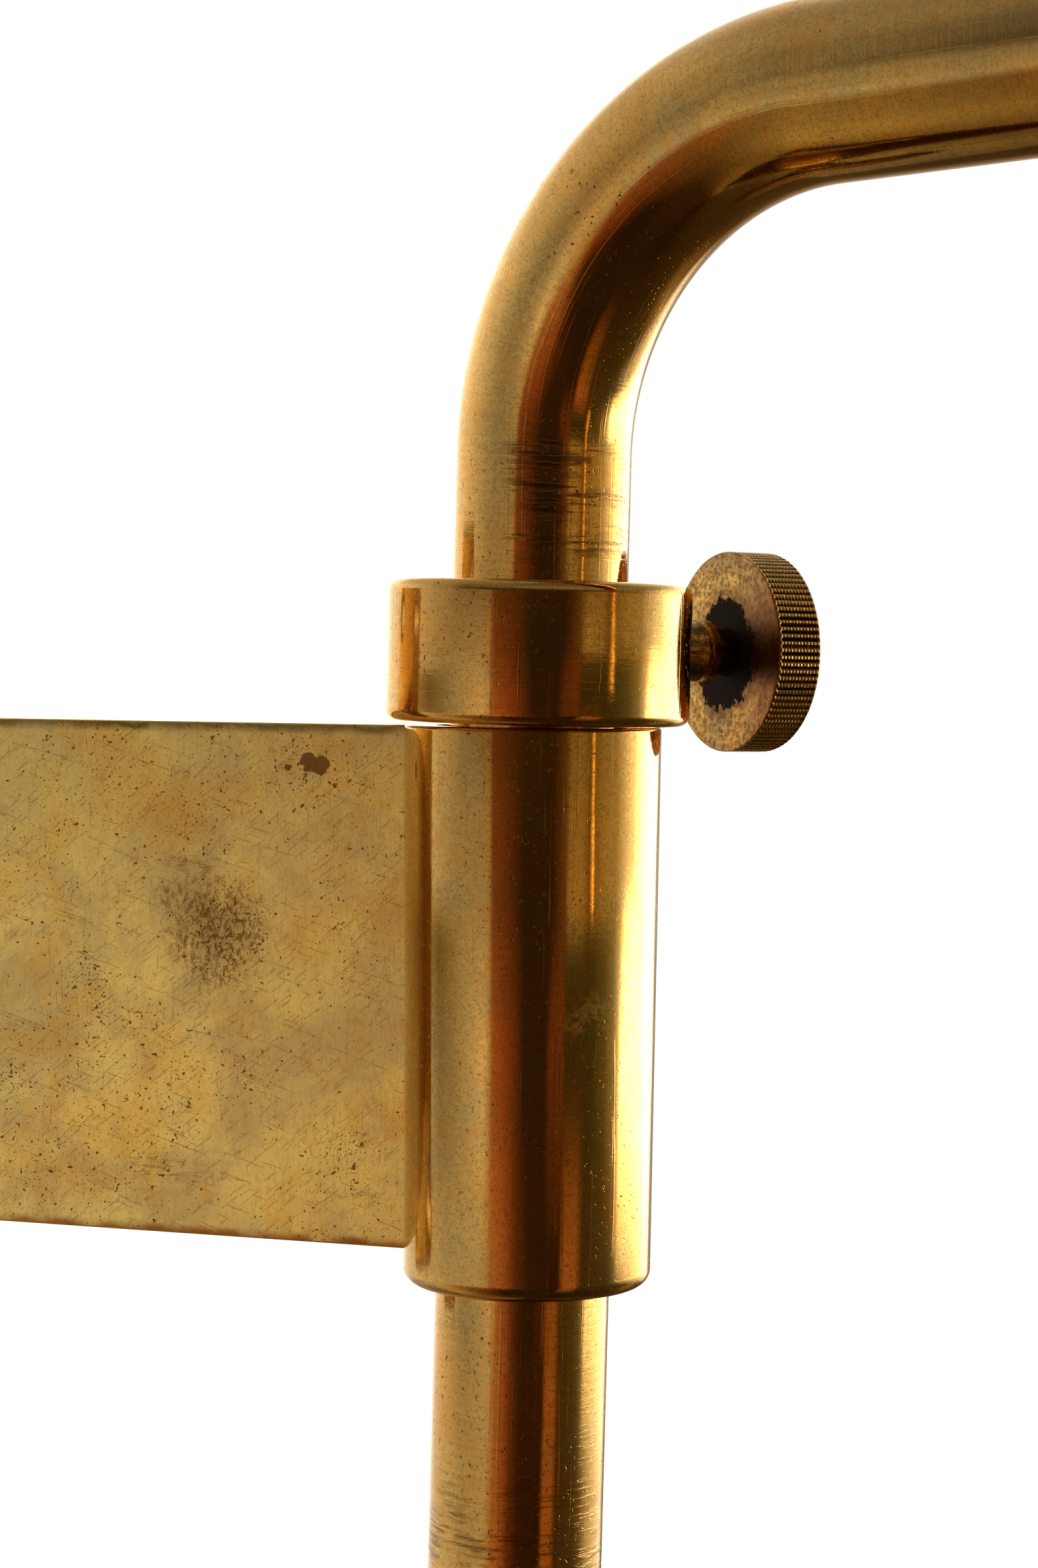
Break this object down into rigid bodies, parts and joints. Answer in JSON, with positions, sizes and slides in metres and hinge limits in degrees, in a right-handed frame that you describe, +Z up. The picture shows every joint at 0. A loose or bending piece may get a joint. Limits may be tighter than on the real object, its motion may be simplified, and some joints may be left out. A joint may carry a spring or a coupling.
{
  "type": "swing arm wall bracket",
  "caption": "Brass wall bracket: a flat bar carries a sleeve in which a bent tube arm swings and slides, held at its height by a stop collar with a knurled thumbscrew.",
  "frame": {"origin": "centre of the wall plate's back face, which is also the centre of the four wall holes", "axes": "+X from the wall towards the barrel, +Z up along the barrel, +Y to the left when looking from the barrel to the wall"},
  "size_m": [0.3481, 0.1115, 0.2552],
  "materials": {
    "brass_plate": "aged brass with a satin polish",
    "brass_bar": "aged brass, mottled and pitted",
    "brass_barrel": "polished brass with light tarnish",
    "brass_tube": "polished brass tube with rubbed rings",
    "brass_collar": "polished brass with light tarnish",
    "brass_fitting": "turned brass, aged",
    "brass_screw": "turned brass, dull",
    "brass_knurled": "knurled brass, dull and dirty",
    "steel_screw": "plain steel, slightly dull"
  },
  "bodies": {
    "bracket": {"wall_plate": "brass_plate", "flat_bar": "brass_bar", "bar_screws": "steel_screw", "sleeve_barrel": "brass_barrel"},
    "collar": {"stop_collar": "brass_collar"},
    "arm": {"arm_tube": "brass_tube", "foot_cap": "brass_fitting", "foot_screw": "steel_screw", "end_socket": "brass_fitting", "socket_screw": "steel_screw"},
    "pad": {"tip_pad": "brass_screw"},
    "thumbscrew": {"thumbscrew_stem": "brass_screw", "thumbscrew_head": "brass_knurled"}
  },
  "joints": [
    {"name": "swivel", "type": "hinge", "parent": "bracket", "child": "collar", "pos_m": [0.1, 0, 0.0239], "axis": [0, 0, 1], "range_deg": [-92, 95]},
    {"name": "arm_height", "type": "slide", "parent": "collar", "child": "arm", "axis": [0.0183, -0.0059, 0.9998], "range_m": [-0.01, 0.125]},
    {"name": "pad_travel", "type": "slide", "parent": "collar", "child": "pad", "axis": [0.6819, 0.7314, -0.0081], "range_m": [0, 0.003]},
    {"name": "thumbscrew_turn", "type": "hinge", "parent": "pad", "child": "thumbscrew", "pos_m": [0.1143, 0.01451, 0.03088], "axis": [0.6819, 0.7314, -0.0081], "range_deg": [0, 1080]}
  ],
  "couplings": [
    {"joint": "thumbscrew_turn", "follows": "pad_travel", "rad_per_m": 6283.2}
  ]
}
